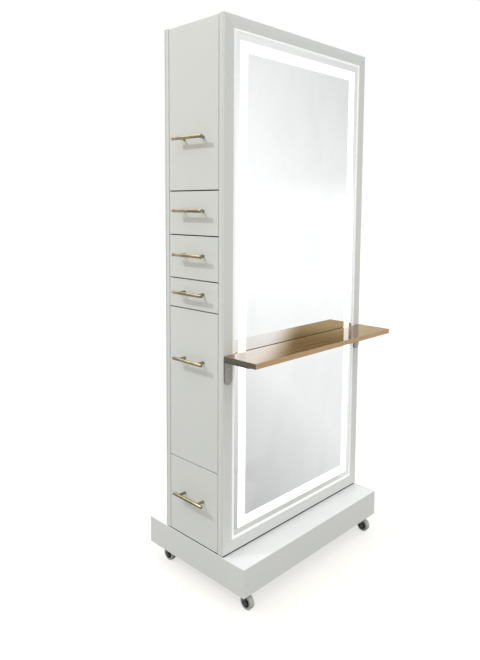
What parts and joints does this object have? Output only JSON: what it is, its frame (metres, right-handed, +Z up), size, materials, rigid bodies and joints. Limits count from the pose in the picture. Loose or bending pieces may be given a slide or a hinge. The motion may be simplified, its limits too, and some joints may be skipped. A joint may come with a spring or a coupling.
{
  "type": "double sided salon station",
  "caption": "Castored salon cabinet with a framed, lit mirror on each face, a wooden shelf across one, and bar-handled pull-outs at both ends.",
  "frame": {"origin": "on the floor, under the middle of the station's footprint, the shelf included", "axes": "+Z up; X along the mirrors, with the pull-outs at -X and +X; the shelf's mirror faces -Y"},
  "size_m": [0.876, 0.5454, 1.966],
  "materials": {
    "white_lacquer": "satin white lacquer on fibreboard",
    "carcass_board": "white melamine-faced board",
    "box_board": "white melamine-faced board",
    "shelf_wood": "oiled oak-coloured wood",
    "mirror_glass": "clear silvered mirror",
    "opal_glass": "frosted light band",
    "led_strip": "matt flexible light strip",
    "driver_case": "plain aluminium case",
    "zinc_steel": "zinc-plated steel",
    "bracket_steel": "grey powder-coated steel",
    "brass": "satin brass",
    "caster_rubber": "light grey rubber tyre on a dark grey hub",
    "black_plastic": "matt black plastic"
  },
  "bodies": {
    "cabinet": {"bottom_panel": "carcass_board", "cabinet_runners": "zinc_steel", "cable_gland": "black_plastic", "caster_plates": "zinc_steel", "fixing_screws": "zinc_steel", "front_frame": "white_lacquer", "front_mirror": "mirror_glass", "front_panel": "white_lacquer", "led_strips": "led_strip", "light_bands": "opal_glass", "light_drivers": "driver_case", "partitions": "carcass_board", "plinth_base_board": "carcass_board", "plinth_skirt": "white_lacquer", "plinth_top_board": "white_lacquer", "rear_frame": "white_lacquer", "rear_mirror": "mirror_glass", "rear_panel": "white_lacquer", "shelf": "shelf_wood", "shelf_brackets": "bracket_steel", "top_panel": "white_lacquer"},
    "left_pull_out_1": {"left_drawer_1_front": "white_lacquer", "left_drawer_1_box": "box_board", "left_drawer_1_runners": "zinc_steel", "left_drawer_1_handle": "brass"},
    "right_pull_out_1": {"right_drawer_1": "white_lacquer"},
    "left_pull_out_2": {"left_drawer_2_front": "white_lacquer", "left_drawer_2_box": "box_board", "left_drawer_2_runners": "zinc_steel", "left_drawer_2_handle": "brass"},
    "right_pull_out_2": {"right_drawer_2": "white_lacquer"},
    "left_pull_out_3": {"left_drawer_3_front": "white_lacquer", "left_drawer_3_box": "box_board", "left_drawer_3_runners": "zinc_steel", "left_drawer_3_handle": "brass"},
    "right_pull_out_3": {"right_drawer_3": "white_lacquer"},
    "left_pull_out_4": {"left_drawer_4_front": "white_lacquer", "left_drawer_4_box": "box_board", "left_drawer_4_runners": "zinc_steel", "left_drawer_4_handle": "brass"},
    "right_pull_out_4": {"right_drawer_4": "white_lacquer"},
    "left_pull_out_5": {"left_drawer_5_front": "white_lacquer", "left_drawer_5_box": "box_board", "left_drawer_5_runners": "zinc_steel", "left_drawer_5_handle": "brass"},
    "right_pull_out_5": {"right_drawer_5": "white_lacquer"},
    "left_pull_out_6": {"left_drawer_6_front": "white_lacquer", "left_drawer_6_box": "box_board", "left_drawer_6_runners": "zinc_steel", "left_drawer_6_handle": "brass"},
    "right_pull_out_6": {"right_drawer_6": "white_lacquer"},
    "front_left_swivel": {"caster_front_left_fork": "zinc_steel"},
    "front_left_wheel": {"caster_front_left_wheel": "caster_rubber"},
    "front_right_swivel": {"caster_front_right_fork": "zinc_steel"},
    "front_right_wheel": {"caster_front_right_wheel": "caster_rubber"},
    "rear_left_swivel": {"caster_rear_left_fork": "zinc_steel"},
    "rear_left_wheel": {"caster_rear_left_wheel": "caster_rubber"},
    "rear_right_swivel": {"caster_rear_right_fork": "zinc_steel"},
    "rear_right_wheel": {"caster_rear_right_wheel": "caster_rubber"}
  },
  "joints": [
    {"name": "left_drawer_1_slide", "type": "slide", "parent": "cabinet", "child": "left_pull_out_1", "axis": [-1, 0, 0], "range_m": [0, 0.225]},
    {"name": "right_drawer_1_slide", "type": "slide", "parent": "cabinet", "child": "right_pull_out_1", "axis": [1, 0, 0], "range_m": [0, 0.225]},
    {"name": "left_drawer_2_slide", "type": "slide", "parent": "cabinet", "child": "left_pull_out_2", "axis": [-1, 0, 0], "range_m": [0, 0.225]},
    {"name": "right_drawer_2_slide", "type": "slide", "parent": "cabinet", "child": "right_pull_out_2", "axis": [1, 0, 0], "range_m": [0, 0.225]},
    {"name": "left_drawer_3_slide", "type": "slide", "parent": "cabinet", "child": "left_pull_out_3", "axis": [-1, 0, 0], "range_m": [0, 0.225]},
    {"name": "right_drawer_3_slide", "type": "slide", "parent": "cabinet", "child": "right_pull_out_3", "axis": [1, 0, 0], "range_m": [0, 0.225]},
    {"name": "left_drawer_4_slide", "type": "slide", "parent": "cabinet", "child": "left_pull_out_4", "axis": [-1, 0, 0], "range_m": [0, 0.225]},
    {"name": "right_drawer_4_slide", "type": "slide", "parent": "cabinet", "child": "right_pull_out_4", "axis": [1, 0, 0], "range_m": [0, 0.225]},
    {"name": "left_drawer_5_slide", "type": "slide", "parent": "cabinet", "child": "left_pull_out_5", "axis": [-1, 0, 0], "range_m": [0, 0.225]},
    {"name": "right_drawer_5_slide", "type": "slide", "parent": "cabinet", "child": "right_pull_out_5", "axis": [1, 0, 0], "range_m": [0, 0.225]},
    {"name": "left_drawer_6_slide", "type": "slide", "parent": "cabinet", "child": "left_pull_out_6", "axis": [-1, 0, 0], "range_m": [0, 0.225]},
    {"name": "right_drawer_6_slide", "type": "slide", "parent": "cabinet", "child": "right_pull_out_6", "axis": [1, 0, 0], "range_m": [0, 0.225]},
    {"name": "front_left_caster_swivel", "type": "hinge", "parent": "cabinet", "child": "front_left_swivel", "pos_m": [-0.355, -0.1823, 0.066], "axis": [0, 0, 1], "continuous": true},
    {"name": "front_left_wheel_roll", "type": "hinge", "parent": "front_left_swivel", "child": "front_left_wheel", "pos_m": [-0.355, -0.2023, 0.025], "axis": [1, 0, 0], "continuous": true},
    {"name": "front_right_caster_swivel", "type": "hinge", "parent": "cabinet", "child": "front_right_swivel", "pos_m": [0.355, -0.1823, 0.066], "axis": [0, 0, 1], "continuous": true},
    {"name": "front_right_wheel_roll", "type": "hinge", "parent": "front_right_swivel", "child": "front_right_wheel", "pos_m": [0.355, -0.2023, 0.025], "axis": [1, 0, 0], "continuous": true},
    {"name": "rear_left_caster_swivel", "type": "hinge", "parent": "cabinet", "child": "rear_left_swivel", "pos_m": [-0.355, 0.2277, 0.066], "axis": [0, 0, 1], "continuous": true},
    {"name": "rear_left_wheel_roll", "type": "hinge", "parent": "rear_left_swivel", "child": "rear_left_wheel", "pos_m": [-0.355, 0.2077, 0.025], "axis": [1, 0, 0], "continuous": true},
    {"name": "rear_right_caster_swivel", "type": "hinge", "parent": "cabinet", "child": "rear_right_swivel", "pos_m": [0.355, 0.2277, 0.066], "axis": [0, 0, 1], "continuous": true},
    {"name": "rear_right_wheel_roll", "type": "hinge", "parent": "rear_right_swivel", "child": "rear_right_wheel", "pos_m": [0.355, 0.2077, 0.025], "axis": [1, 0, 0], "continuous": true}
  ]
}
